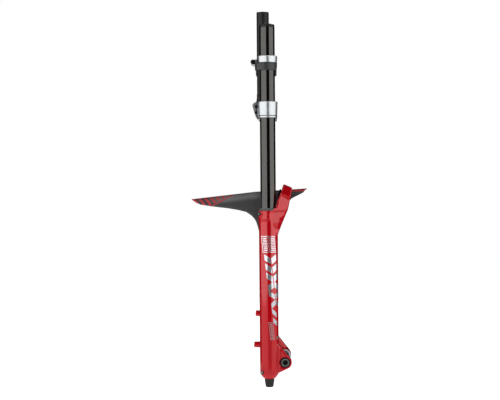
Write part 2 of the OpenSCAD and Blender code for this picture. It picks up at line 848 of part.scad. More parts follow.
module leg_port_screw() {
    color([0.1, 0.1, 0.1]) from_axle() at_leg(RIGHT) rotate(port_turn)
        translate([leg_r - 0.25, 0, port_z]) rotate([0, 90, 0])
            socket_bolt(port_head_r, 1.8, 2, 5.5, 2.6);
}

// ---------- Pieces that move on their own ----------

module axle() {
    head_y = -dropout_outer - 0.6;
    color([0.08, 0.08, 0.08]) from_axle() translate([fork_offset, 0, 0]) rotate([90, 0, 0])
    difference() {
        turned([[0, -dropout_outer], [axle_r - 1, -dropout_outer], [axle_r, 1 - dropout_outer],
            [axle_r, -head_y - axle_head_depth + 0.3],
            [axle_head_r, -head_y - axle_head_depth + 0.3], [axle_head_r, -head_y - 0.8],
            [axle_head_r - 0.8, -head_y], [0, -head_y]]);
        bar(7.4, -dropout_outer - 1, -head_y - 16);
        bar(8.8, -head_y - 8, -head_y + 1);
    }
}

// Tool insert in the axle head
module axle_insert() {
    top = dropout_outer + 0.2;
    color([0.35, 0.36, 0.37]) from_axle() translate([fork_offset, 0, 0]) rotate([90, 0, 0])
    difference() {
        turned([[0, top - 7.6], [8.8, top - 7.6], [8.8, top - 0.5], [8.3, top], [0, top]]);
        translate([0, 0, top - 6.5]) cylinder(r = axle_hex / 2 / cos(30), h = 8, $fn = 6);
    }
}

// Cone-shaped knob with finger flutes, hollow round the foot bolt
module rebound_knob() {
    top = leg_foot - free_gap;
    foot = -56.2;
    color([0.06, 0.06, 0.06]) from_axle() at_leg(RIGHT) difference() {
        turned([[0, foot], [7, foot], [8.2, foot + 0.6], [9, foot + 2.2],
            [10.9, top - 4.5], [11.2, top - 2.5], [10.9, top], [0, top]]);
        bar(8, foot + 11, top + 1);
        bar(1.7, foot + 7.2, foot + 12);
        for (turn = [15:30:345]) rotate(turn) translate([11.4, 0, foot + 3]) rotate([0, 5, 0])
            cylinder(r = 1.9, h = 9);
    }
}

module rebound_needle() {
    top = piston_z + 6;
    color([0.8, 0.8, 0.82]) from_axle() at_leg(RIGHT)
        turned([[0, -46.5], [1.6, -46.5], [1.6, top - 5], [0.4, top], [0, top]]);
}

// Knurled ring round the small dial
module high_speed_dial() {
    low = stanchion_top + cap_flange_h + 0.1;
    color([0.12, 0.12, 0.13]) at_leg(RIGHT) difference() {
        turned([[0, low], [high_dial_r, low], [high_dial_r, low + high_dial_h - 0.5],
            [high_dial_r - 0.5, low + high_dial_h], [0, low + high_dial_h]]);
        bar(2.4, low - 1, low + 5);
        for (turn = [0:20:340]) rotate(turn) translate([high_dial_r + 0.5, 0, low - 1])
            cylinder(r = 1, h = 5);
    }
}

module low_speed_dial() {
    low = stanchion_top + cap_flange_h + high_dial_h + 0.2;
    color([0.06, 0.06, 0.06]) at_leg(RIGHT) difference() {
        turned([[0, low], [low_dial_r, low], [low_dial_r, low + low_dial_h - 0.8],
            [low_dial_r - 0.8, low + low_dial_h], [0, low + low_dial_h]]);
        for (turn = [0:30:330]) rotate(turn) translate([low_dial_r + 0.6, 0, low - 1])
            cylinder(r = 1, h = 6);
        translate([0, 0, low + low_dial_h - 1]) cylinder(r = 1.5 / cos(30), h = 2, $fn = 6);
    }
}

// Rod from the small dial down to the compression valve
module low_speed_rod() {
    top = stanchion_top + cap_flange_h + high_dial_h + 0.2;
    color([0.8, 0.8, 0.82]) at_leg(RIGHT)
        turned([[0, axle_z + valve_high - 10], [2, axle_z + valve_high - 8], [2, top], [0, top]]);
}

module relief_button() {
    rotate(-90 - valve_turn) translate([0, 0, valve_z]) rotate([0, 90, 0])
        turned([[0, 22 + button_travel + free_gap], [button_r, 22 + button_travel + free_gap],
            [button_r, valve_face_r + 1.6], [button_r - 0.5, valve_face_r + 2.2],
            [0, valve_face_r + 2.4]]);
}

module relief_button_right() {
    color([0.45, 0.6, 0.62]) from_axle() at_leg(RIGHT) relief_button();
}

module relief_button_left() {
    color([0.45, 0.6, 0.62]) from_axle() at_leg(LEFT) mirror([0, 1, 0]) relief_button();
}

module valve_cap() {
    low = stanchion_top + cap_flange_h + 0.2;
    top = valve_stem_top + 2;
    color([0.06, 0.06, 0.06]) at_leg(LEFT) difference() {
        turned([[0, low], [5.6, low], [5.6, top - 1.5], [4.6, top], [0, top]]);
        bar(valve_stem_r + run_gap, low - 1, valve_stem_top + 0.3);
        for (turn = [0:40:320]) rotate(turn) translate([6.1, 0, low + 2])
            cylinder(r = 0.9, h = 12);
    }
}

module valve_core_pin() {
    color([0.8, 0.7, 0.35]) at_leg(LEFT)
        bar(1.5 - run_gap, stanchion_top - 10, valve_stem_top - 1);
}

steerer_tube();
lower_crown();
lower_crown_bolts();
stanchion_right();
stanchion_left();
frame_bumper_right();
frame_bumper_left();
damper_top_cap();
air_top_cap();
air_valve_stem();
volume_spacers();
damper_cartridge();
compression_valve();
expansion_bladder();
damper_seal_head();
air_seal_head();
top_out_bumpers();
upper_crown();
upper_crown_bolts();
steerer_pinch_bolt();
lower_legs();
dust_wiper_right();
dust_wiper_left();
foam_rings();
upper_bushings();
lower_bushings();
fender();
fender_bolts();
hose_guide();
hose_guide_bolt();
damper_shaft();
rebound_piston();
air_shaft();
air_piston();
bottom_out_bumpers();
foot_bolt_right();
foot_bolt_left();
crush_washers();
relief_valve_housings();
leg_port_screw();
axle();
axle_insert();
rebound_knob();
rebound_needle();
high_speed_dial();
low_speed_dial();
low_speed_rod();
relief_button_right();
relief_button_left();
valve_cap();
valve_core_pin();
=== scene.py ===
import math

import bmesh
import bpy
import numpy as np
from mathutils import Matrix, Vector


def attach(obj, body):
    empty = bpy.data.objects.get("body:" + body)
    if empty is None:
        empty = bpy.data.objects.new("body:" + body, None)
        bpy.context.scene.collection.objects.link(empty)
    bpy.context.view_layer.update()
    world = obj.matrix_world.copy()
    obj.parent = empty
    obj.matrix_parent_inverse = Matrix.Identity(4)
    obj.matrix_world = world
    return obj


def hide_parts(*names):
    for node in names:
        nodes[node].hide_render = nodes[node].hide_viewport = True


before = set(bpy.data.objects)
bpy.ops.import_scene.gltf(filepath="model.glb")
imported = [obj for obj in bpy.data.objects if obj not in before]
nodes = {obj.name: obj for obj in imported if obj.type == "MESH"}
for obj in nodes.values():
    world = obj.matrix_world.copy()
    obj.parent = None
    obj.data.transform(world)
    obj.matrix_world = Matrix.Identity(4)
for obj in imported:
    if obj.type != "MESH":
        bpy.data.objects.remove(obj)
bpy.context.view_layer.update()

# Lengths are in millimetres. The origin is the crown race seat, +X points forward, +Y to the
# rider's left and +Z up. Heights called "za" are measured up from the axle.
MM = 0.001
AXLE_Z = -602.0
AXLE_X = 46.0
LEG_X = 10.0
LEG_Y = 76.0
LEG_R = 21.4
LEG_SKIN = 21.6
LEG_TOP = 344.7
BORE_R = 18.6
WIPER_POCKET_R = 20.2
BORE_FILL_R = 20.6
STANCHION_R = 17.5
STEERER_R = 14.3
AXLE_R = 10.05
HUB_FACE_Y = 55.0
GROOVE_Z = -44.3
GROOVE_H = 1.5
GROOVE_FLOOR_R = 20.6
CLAMP_R = 24.6
FLOOR_Z = -665
SIDES = (-1, 1)


# ---------- Mesh helpers, all in millimetres ----------

def add_object(name, mesh):
    piece = bpy.data.objects.new(name, mesh)
    bpy.context.scene.collection.objects.link(piece)
    return piece


def mesh_piece(name, points, faces):
    mesh = bpy.data.meshes.new(name)
    mesh.from_pydata([tuple(c * MM for c in p) for p in points], [], faces)
    mesh.update()
    return add_object(name, mesh)


def bake(piece):
    """Apply every modifier of a piece."""
    graph = bpy.context.evaluated_depsgraph_get()
    graph.update()
    done = bpy.data.meshes.new_from_object(piece.evaluated_get(graph))
    piece.modifiers.clear()
    piece.data = done
    return piece


def shade_smooth(piece, angle=None):
    piece.data.shade_smooth()
    if angle is not None:
        piece.data.set_sharp_from_angle(angle=math.radians(angle))


def add_cylinder(bm, centre, axis, radius, length, segments=64):
    turn = Vector(axis).to_track_quat("Z", "Y").to_matrix().to_4x4()
    place = Matrix.Translation(Vector(centre) * MM) @ turn
    bmesh.ops.create_cone(bm, cap_ends=True, segments=segments, radius1=radius * MM,
                          radius2=radius * MM, depth=length * MM, matrix=place)


def cylinders(name, rods, segments=96):
    bm = bmesh.new()
    for centre, axis, radius, length in rods:
        add_cylinder(bm, centre, axis, radius, length, segments)
    mesh = bpy.data.meshes.new(name)
    bm.to_mesh(mesh)
    bm.free()
    return add_object(name, mesh)


def recast(name, node, voxel, rounds, fills=()):
    """A softened copy of a CAD node: fused on a grid and smoothed to fillet its edges."""
    bm = bmesh.new()
    bm.from_mesh(nodes[node].data)
    bmesh.ops.remove_doubles(bm, verts=bm.verts, dist=1e-6)
    for centre, axis, radius, length in fills:
        add_cylinder(bm, centre, axis, radius, length)
    mesh = bpy.data.meshes.new(name)
    bm.to_mesh(mesh)
    bm.free()
    piece = add_object(name, mesh)
    fuse = piece.modifiers.new("fuse", "REMESH")
    fuse.mode = "VOXEL"
    fuse.voxel_size = voxel * MM
    soften = piece.modifiers.new("soften", "SMOOTH")
    soften.factor = 0.5
    soften.iterations = rounds
    bake(piece)
    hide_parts(node)
    return piece


def read_points(piece):
    flat = np.empty(len(piece.data.vertices) * 3)
    piece.data.vertices.foreach_get("co", flat)
    return flat.reshape(-1, 3) / MM


def write_points(piece, points):
    piece.data.vertices.foreach_set("co", (points * MM).ravel())
    piece.data.update()


def snap_round(points, centre, axis, radius, low, high, near=0.45, far=1.0):
    """Bring the points near a cylinder's wall back onto it."""
    axis = np.array(axis, float)
    axis /= np.linalg.norm(axis)
    rel = points - np.array(centre, float)
    along = rel @ axis
    out = rel - np.outer(along, axis)
    dist = np.linalg.norm(out, axis=1)
    off = np.abs(dist - radius)
    weight = np.clip((far - off) / (far - near), 0, 1)
    weight *= (along > low) & (along < high)
    scale = 1 + weight * (radius / np.maximum(dist, 1e-6) - 1)
    return points + out * (scale - 1)[:, None]


def subtract(piece, cutter):
    hole = piece.modifiers.new("hole", "BOOLEAN")
    hole.operation = "DIFFERENCE"
    hole.solver = "EXACT"
    hole.object = cutter
    bake(piece)
    bpy.data.objects.remove(cutter)


def cut(piece, rods):
    subtract(piece, cylinders(piece.name + "_cutter", rods))


def turned_ring(bm, place, profile, steps):
    """Sweep a closed profile of (radius, level) pairs round; place gives each point."""
    rings = []
    for radius, level in profile:
        rings.append([bm.verts.new(place(radius, level, 2 * math.pi * i / steps))
                      for i in range(steps)])
    for low, high in zip(rings, rings[1:] + rings[:1]):
        for i in range(steps):
            bm.faces.new((low[i], low[(i + 1) % steps], high[(i + 1) % steps], high[i]))


def at_axle(x, y, za):
    return (x, y, za + AXLE_Z)


# ---------- Procedural materials ----------

class Shader:
    def __init__(self, name):
        self.mat = bpy.data.materials.new(name)
        self.mat.use_nodes = True
        self.tree = self.mat.node_tree
        self.bsdf = self.tree.nodes["Principled BSDF"]
        self.place = self.node("ShaderNodeTexCoord").outputs["Object"]

    def node(self, kind, **props):
        made = self.tree.nodes.new(kind)
        for key, value in props.items():
            setattr(made, key, value)
        return made

    def feed(self, socket, value):
        if isinstance(value, bpy.types.NodeSocket):
            self.tree.links.new(value, socket)
        else:
            socket.default_value = value

    def set(self, **values):
        for key, value in values.items():
            self.feed(self.bsdf.inputs[key.replace("_", " ")], value)

    def math(self, operation, *values):
        made = self.node("ShaderNodeMath", operation=operation)
        for socket, value in zip(made.inputs, values):
            self.feed(socket, value)
        return made.outputs[0]

    def stretched(self, scale):
        made = self.node("ShaderNodeMapping")
        self.feed(made.inputs["Vector"], self.place)
        made.inputs["Scale"].default_value = scale
        return made.outputs[0]

    def noise(self, scale, detail=2.0, vector=None, rough=0.55):
        made = self.node("ShaderNodeTexNoise")
        self.feed(made.inputs["Vector"], vector or self.place)
        made.inputs["Scale"].default_value = scale
        made.inputs["Detail"].default_value = detail
        made.inputs["Roughness"].default_value = rough
        return made.outputs["Fac"]

    def span(self, value, low, high, to_low=0.0, to_high=1.0, smooth=False):
        made = self.node("ShaderNodeMapRange")
        if smooth:
            made.interpolation_type = "SMOOTHSTEP"
        for key, item in zip(("Value", "From Min", "From Max", "To Min", "To Max"),
                             (value, low, high, to_low, to_high)):
            self.feed(made.inputs[key], item)
        return made.outputs[0]

    def mix(self, factor, first, second):
        made = self.node("ShaderNodeMix", data_type="RGBA")
        self.feed(made.inputs[0], factor)
        self.feed(made.inputs[6], tone(first))
        self.feed(made.inputs[7], tone(second))
        return made.outputs[2]

    def axis(self, name):
        if not hasattr(self, "parts"):
            self.parts = self.node("ShaderNodeSeparateXYZ")
            self.feed(self.parts.inputs[0], self.place)
        return self.parts.outputs[name]

    def bump(self, height, strength, distance=0.1):
        made = self.node("ShaderNodeBump")
        made.inputs["Strength"].default_value = strength
        made.inputs["Distance"].default_value = distance * MM
        self.feed(made.inputs["Height"], height)
        self.feed(self.bsdf.inputs["Normal"], made.outputs[0])
        return made.outputs[0]


def tone(value):
    if isinstance(value, bpy.types.NodeSocket):
        return value
    return (*value, 1.0)


def finish(name, colour, drift=0.08, rough=0.4, spread=0.06, metal=0.0, grain=1500.0, relief=0.08,
           stretch=(1, 1, 1), **values):
    """A surface whose colour and gloss drift a little, with a fine grain."""
    s = Shader(name)
    cloud = s.noise(60.0, 4.0)
    fine = s.noise(grain, 3.0, s.stretched(stretch))
    both = s.math("ADD", s.math("MULTIPLY", cloud, 0.5), s.math("MULTIPLY", fine, 0.5))
    dark = [c * (1 - drift) for c in colour]
    light = [min(1.0, c * (1 + drift)) for c in colour]
    s.set(Base_Color=s.mix(s.span(both, 0.35, 0.65), dark, light), Metallic=metal,
          Roughness=s.span(fine, 0.3, 0.7, max(0.02, rough - spread), rough + spread))
    s.set(**values)
    s.bump(fine, relief)
    return s.mat


def dress(piece, mat):
    piece.data.materials.clear()
    piece.data.materials.append(mat)


# Clear lacquer over a red metallic base
LACQUER = dict(Coat_Weight=1.0, Coat_Roughness=0.06, Coat_IOR=1.75, Specular_IOR_Level=0.0)

MATS = {
    "stanchion": finish("stanchion_coating", (0.122, 0.119, 0.113), 0.03, 0.13, 0.015, 1.0,
                        2500, 0.01, (1, 1, 0.05)),
    "steerer": finish("steerer_anodised", (0.038, 0.038, 0.039), 0.05, 0.42, 0.04, 0.85, 1800, 0.03,
                      (1, 1, 8)),
    "crown": finish("crown_polished", (0.77, 0.80, 0.82), 0.01, 0.29, 0.02, 1.0, 900, 0.006),
    "black_hardware": finish("black_hardware", (0.02, 0.02, 0.022), 0.2, 0.3, 0.06, 0.6, 1800,
                             0.05),
    "steel_hardware": finish("steel_hardware", (0.55, 0.55, 0.56), 0.06, 0.25, 0.05, 1.0, 1600,
                             0.05),
    "bare_alloy": finish("bare_alloy", (0.6, 0.61, 0.63), 0.05, 0.28, 0.05, 1.0, 1200, 0.05,
                         (1, 1, 12)),
    "brass_alloy": finish("brass_alloy", (0.7, 0.5, 0.16), 0.08, 0.28, 0.05, 1.0, 1200, 0.05),
    "rubber": finish("wiper_rubber", (0.10, 0.105, 0.105), 0.1, 0.5, 0.06, 0.0, 1500, 0.15),
    "bumper_rubber": finish("bumper_rubber", (0.04, 0.04, 0.042), 0.1, 0.3, 0.05, 0.0, 1400, 0.1),
    "black_alloy": finish("black_alloy", (0.03, 0.03, 0.032), 0.12, 0.25, 0.05, 0.8, 1700, 0.04),
    "cap_alloy": finish("cap_alloy", (0.02, 0.02, 0.021), 0.12, 0.35, 0.05, 0.5, 1700, 0.04),
    "knob": finish("knob_black", (0.022, 0.022, 0.023), 0.12, 0.35, 0.05, 0.2, 1700, 0.04),
    "black_plastic": finish("black_plastic", (0.03, 0.03, 0.032), 0.12, 0.45, 0.06, 0.0, 1500,
                            0.15),
    "foam": finish("foam_ring", (0.2, 0.2, 0.18), 0.3, 0.9, 0.05, 0.0, 1200, 0.8),
    "bushing": finish("bushing_lining", (0.16, 0.2, 0.17), 0.15, 0.45, 0.06, 0.3, 1500, 0.1),
    "spacer_plastic": finish("spacer_plastic", (0.5, 0.05, 0.04), 0.1, 0.4, 0.06, 0.0, 1300, 0.1),
    "grey_alloy": finish("grey_alloy", (0.11, 0.113, 0.12), 0.06, 0.5, 0.05, 0.4, 1500, 0.05),
    "button": finish("button_alloy", (0.25, 0.42, 0.44), 0.08, 0.25, 0.05, 0.8, 1500, 0.05),
    "foil": finish("silver_foil", (0.84, 0.87, 0.91), 0.03, 0.14, 0.03, 0.85, 1500, 0.02),
    "grey_print": finish("grey_print", (0.30, 0.25, 0.26), 0.06, 0.4, 0.05, 0.0, 1500, 0.03),
    "red_casting": finish("red_casting", (0.60, 0.0008, 0.008), 0.03, 0.38, 0.03, 0.45, 1600, 0.01,
                          **LACQUER),
}


def painted_rings(name, centre, depth, rings, rough, metal):
    """A turned piece painted with rings of shade and highlight at the given distances from a point,
    or from a line across the fork when depth is 0."""
    s = Shader(name)
    offset = s.node("ShaderNodeVectorMath", operation="DISTANCE")
    flat = s.node("ShaderNodeVectorMath", operation="MULTIPLY")
    s.feed(flat.inputs[0], s.place)
    flat.inputs[1].default_value = (1, depth, 1)
    s.feed(offset.inputs[0], flat.outputs[0])
    offset.inputs[1].default_value = (centre[0] * MM, depth * centre[1] * MM, centre[2] * MM)
    away = s.math("MULTIPLY", offset.outputs["Value"], 1000.0)
    fine = s.noise(1600.0, 3.0)
    colour = rings[0][1]
    for reach, shade in rings[1:]:
        colour = s.mix(s.span(away, reach - 0.15, reach + 0.15), colour, shade)
    speckle = s.mix(s.span(fine, 0.3, 0.7, 0.0, 0.25), (1, 1, 1), (0.6, 0.6, 0.6))
    blend = s.node("ShaderNodeMix", data_type="RGBA", blend_type="MULTIPLY")
    blend.inputs[0].default_value = 1.0
    s.feed(blend.inputs[6], colour)
    s.feed(blend.inputs[7], speckle)
    s.set(Base_Color=blend.outputs[2], Metallic=metal,
          Roughness=s.span(fine, 0.3, 0.7, rough - 0.04, rough + 0.04))
    s.bump(fine, 0.05)
    return s.mat


def ear_painted_shade():
    """Faces behind the lower clamps, painted as a shaded copy of the polished crown, with a painted
    dark reflection at their root.
    """
    s = Shader("crown_ear")
    x = s.math("MULTIPLY", s.axis("X"), 1000.0)
    cloud = s.noise(90.0, 4.0)
    fine = s.noise(900.0, 3.0)
    # The mid grey of these faces is painted shade; their metal is the crown's polished alloy
    face = s.mix(s.span(cloud, 0.35, 0.65), (0.30, 0.31, 0.32), (0.36, 0.37, 0.38))
    s.set(Base_Color=s.mix(s.span(x, -16.0, -14.6), face, (0.07, 0.072, 0.075)), Metallic=1.0,
          Roughness=s.span(fine, 0.3, 0.7, 0.3, 0.36))
    s.bump(fine, 0.02)
    return s.mat


def flat_grey(value):
    return (value, value, value * 1.03)


# The rings of tone on the axle's end and the port screw stand in for shading
MATS["axle_insert"] = painted_rings(
    "axle_insert_painted_shade", at_axle(AXLE_X, -83.0, 0), 0,
    [(0, flat_grey(0.002)), (5.3, flat_grey(0.06)), (7.4, flat_grey(0.32)),
     (8.5, flat_grey(0.05))], 0.5, 0.3)
MATS["ear"] = ear_painted_shade()
MATS["port_screw"] = painted_rings(
    "port_screw_painted_shade", at_axle(LEG_X - 16.6, -LEG_Y - 14.9, -21.5), 1,
    [(0, flat_grey(0.5)), (2.2, flat_grey(0.04)), (3.9, flat_grey(0.02))], 0.35, 0.4)
MATS["hub_face"] = finish("hub_face", (0.62, 0.63, 0.65), 0.05, 0.5, 0.05, 0.2, 1300, 0.05)


# The fender's crest is two straight lines that meet at the knee; its section is a power curve
KNEE_X = -20
KNEE_ZA = 386.9
NOSE_SLOPE = 0.0577
TAIL_SLOPE = 0.1086
FENDER_HALF = 52.4
FENDER_DROP = 97
FENDER_POWER = 3.2
FENDER_THICK = 2


def crest(x):
    """Height of the fender's crest above the axle."""
    return KNEE_ZA + (NOSE_SLOPE if x > KNEE_X else TAIL_SLOPE) * (x - KNEE_X)


def fender_material():
    """Satin plastic with slanted bars printed on the tail, a stripe along the tip and a painted
    sheen band along the sides.
    """
    s = Shader("fender_printed")
    x = s.math("MULTIPLY", s.axis("X"), 1000.0)
    za = s.math("ADD", s.math("MULTIPLY", s.axis("Z"), 1000.0), -AXLE_Z)
    y = s.math("ABSOLUTE", s.math("MULTIPLY", s.axis("Y"), 1000.0))

    def between(value, low, high):
        return s.math("MULTIPLY", s.span(value, low - 0.3, low + 0.3),
                      s.span(value, high - 0.3, high + 0.3, 1.0, 0.0))

    # How far ahead of the slanted edge of the print a point lies
    ahead = s.math("SUBTRACT", s.math("ADD", x, 118.0),
                   s.math("MULTIPLY", s.math("SUBTRACT", za, 355.0), 48.0 / 26.0))
    edge = between(ahead, -3.2, 2.2)
    bend = s.math("MULTIPLY", s.math("ABSOLUTE", s.math("SUBTRACT", y, 17.0)), 0.9)
    run = s.math("ADD", s.math("SUBTRACT", x, bend), 400.0)
    bars = s.math("LESS_THAN", s.math("FRACT", s.math("DIVIDE", run, 13.0)), 0.5)
    field = s.math("MULTIPLY", s.span(ahead, -8.3, -7.7, 1.0, 0.0), s.span(x, -160.3, -159.7))
    field = s.math("MULTIPLY", field, s.span(y, 31.7, 32.3, 1.0, 0.0))
    point = s.span(x, -160.3, -159.7, 1.0, 0.0)
    height = s.math("SUBTRACT", za, s.math("ADD", s.math("MULTIPLY", x, NOSE_SLOPE), 388.05))
    nose = s.math("MULTIPLY", between(x, 66.0, 96.0), s.span(height, -6.3, -5.7))
    red = s.math("MAXIMUM", s.math("MAXIMUM", edge, point),
                 s.math("MAXIMUM", s.math("MULTIPLY", bars, field), nose))
    fine = s.noise(1500.0, 3.0)
    cloud = s.noise(60.0, 4.0)
    # A lighter band along the sides stands in for the sheen there
    middle = s.math("ADD", s.math("MULTIPLY", x, 0.11), 382.0)
    off = s.math("ABSOLUTE", s.math("SUBTRACT", za, middle))
    sheen = s.math("MULTIPLY", s.span(off, 3.0, 14.0, 1.0, 0.0, smooth=True),
                   s.span(x, -135.0, -95.0, smooth=True))
    sheen = s.math("MULTIPLY", sheen, s.span(x, -28.0, 4.0, 1.0, 0.0, smooth=True))
    plastic = s.mix(s.span(cloud, 0.35, 0.65), (0.048, 0.048, 0.049), (0.058, 0.058, 0.059))
    pale = s.mix(s.span(cloud, 0.35, 0.65), (0.155, 0.155, 0.156), (0.185, 0.185, 0.186))
    plastic = s.mix(sheen, plastic, pale)
    print_red = s.mix(s.span(cloud, 0.35, 0.65), (0.50, 0.045, 0.05), (0.56, 0.05, 0.058))
    s.set(Base_Color=s.mix(red, plastic, print_red), Metallic=0.0,
          Roughness=s.span(fine, 0.3, 0.7, 0.3, 0.38), Specular_IOR_Level=0.7)
    s.bump(fine, 0.08)
    return s.mat


# ---------- Recast pieces ----------

# Angles in degrees that the faces of the arch and of the dropouts are turned by
FLANK_TURN = 18
OUTER_LEAN = 9
INNER_LEAN = 17


def leg_rods(middle, radius, length):
    """A rod along each leg, for filling or cutting its bore."""
    return [(at_axle(LEG_X, side * LEG_Y, middle), (0, 0, 1), radius, length) for side in SIDES]


def off_leg(x, out):
    """0 on the wall of a leg, rising to 1 just outside it."""
    return np.clip((np.hypot(x - LEG_X, out - LEG_Y) - LEG_SKIN) / 1.5, 0, 1)


def taper_arch(points):
    """Turn the outer flanks of the arch in towards its front, below the block at its top."""
    side = np.sign(points[:, 1])
    out = np.abs(points[:, 1])
    x = points[:, 0]
    za = points[:, 2] - AXLE_Z
    # Where along x the flank starts to turn in, and where it turns in faster, by height
    rear = np.interp(za, (300, 340, 345, 356, 375, 399), (12, 12, 19, 25, 34, 43))
    front = np.interp(za, (300, 324, 333, 350, 369, 384), (27, 33.6, 43.4, 52, 57, 60))
    low_edge = 384 - 0.6 * (x - 38)
    weight = np.clip((out - 62) / 18, 0, 1) * off_leg(x, out)
    weight *= np.clip((za - 292) / 10, 0, 1) * np.clip((low_edge - za) / 4, 0, 1)
    shift = (np.maximum(0, x - rear) * math.tan(math.radians(FLANK_TURN))
             + np.maximum(0, x - front) * 0.9)
    points[:, 1] -= side * weight * np.minimum(shift, 22)
    return points


def stretch_bosses(points):
    """Bring the caliper bosses back to their full length after the softening."""
    root, full = -14, -27.4
    boss = (points[:, 1] > 50) & (points[:, 1] < 76) & (points[:, 0] < root)
    tip = points[boss, 0].min()
    points[boss, 0] = root + (points[boss, 0] - root) * (full - root) / (tip - root)
    return points


def lean_dropouts(points):
    """Lean both faces of each dropout: the outer one outwards to its front, the inner one,
    outside the hub's seat, back into the dropout."""
    side = np.sign(points[:, 1])
    x = points[:, 0]
    ahead = x - AXLE_X
    za = points[:, 2] - AXLE_Z
    outer = np.clip((np.abs(points[:, 1]) - 66) / 16, 0, 1) * np.clip((ahead + 15) / 4, 0, 1)
    outer *= (za > -30) & (za < 60)
    points[:, 1] += side * outer * np.clip(ahead, -15, 16) * math.tan(math.radians(OUTER_LEAN))
    out = np.abs(points[:, 1])
    inner = np.clip((69 - out) / 5, 0, 1) * (out > 50) * (x > 24) * (za < 62)
    inner *= np.clip((np.hypot(ahead, za) - 15) / 2, 0, 1) * np.clip((za + 4) / 8, 0, 1)
    inner *= off_leg(x, out)
    points[:, 1] += side * inner * np.clip(x - 29, 0, 24) * math.tan(math.radians(INNER_LEAN))
    return points


casting = recast("lowers_casting", "lower_legs", 1.5, 6, leg_rods(161.0, BORE_FILL_R, 367.0))
pts = stretch_bosses(read_points(casting))
for side in SIDES:
    pts = snap_round(pts, at_axle(LEG_X, side * LEG_Y, 0), (0, 0, 1), LEG_R, -22, 317)
pts = snap_round(pts, at_axle(AXLE_X, 0, 0), (0, 1, 0), AXLE_R, -100, 100)
write_points(casting, pts)
cut(casting, leg_rods(162.0, BORE_R, 364.0))
cut(casting, leg_rods(LEG_TOP - 2.5, WIPER_POCKET_R, 17.0))
write_points(casting, lean_dropouts(taper_arch(read_points(casting))))
shade_smooth(casting, 50)
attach(casting, "lowers")
dress(casting, MATS["red_casting"])


def cut_groove(piece, side):
    """Turn a square groove into the outside of a lower clamp."""
    def place(radius, level, turn):
        return ((LEG_X + radius * math.cos(turn)) * MM,
                (side * LEG_Y + radius * math.sin(turn)) * MM, level * MM)

    top = GROOVE_Z + GROOVE_H
    bm = bmesh.new()
    turned_ring(bm, place, ((GROOVE_FLOOR_R, GROOVE_Z), (CLAMP_R, GROOVE_Z), (CLAMP_R, top),
                            (GROOVE_FLOOR_R, top)), 96)
    bmesh.ops.recalc_face_normals(bm, faces=bm.faces)
    mesh = bpy.data.meshes.new("groove")
    bm.to_mesh(mesh)
    bm.free()
    subtract(piece, add_object("groove", mesh))


def paint_lower_crown(piece):
    """Give the groove, the shoulder under the steerer and the rear ears materials darker than the
    polished crown, as painted shade.
    """
    for key in ("grey_alloy", "steerer", "ear"):
        piece.data.materials.append(MATS[key])
    groove, shoulder, ear = 1, 2, 3
    for face in piece.data.polygons:
        x, y, z = (c / MM for c in face.center)
        from_leg = math.hypot(x - LEG_X, abs(y) - LEG_Y)
        level_face = abs(face.normal.z) > 0.7
        in_groove = GROOVE_Z - 0.1 < z < GROOVE_Z + GROOVE_H + 0.1 and (
            from_leg < GROOVE_FLOOR_R + 0.6 or (level_face and from_leg < CLAMP_R))
        # The groove's dark grey is painted shade in the recess
        if in_groove:
            face.material_index = groove
        # The shoulder is polished crown metal; the steerer's dark material on it is painted shade
        # that hides its highlight
        elif z > -9.0 and math.hypot(x, y) < 22:
            face.material_index = shoulder
        # The ears' darker material is painted shade on the polished crown
        elif x < -11.8 and abs(y) > 52:
            face.material_index = ear


crowns = []
for node, name, body in (("lower_crown", "lower_crown_forging", "upper_unit"),
                         ("upper_crown", "upper_crown_forging", "upper_crown")):
    crown = recast(name, node, 0.7, 7)
    pts = read_points(crown)
    for side in SIDES:
        pts = snap_round(pts, (LEG_X, side * LEG_Y, 0), (0, 0, 1), STANCHION_R, -80, 120)
    pts = snap_round(pts, (0, 0, 0), (0, 0, 1), STEERER_R, -80, 120)
    write_points(crown, pts)
    if node == "lower_crown":
        for side in SIDES:
            cut_groove(crown, side)
    shade_smooth(crown, 50)
    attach(crown, body)
    dress(crown, MATS["crown"])
    if node == "lower_crown":
        paint_lower_crown(crown)
    crowns.append(crown)


# ---------- Fender ----------

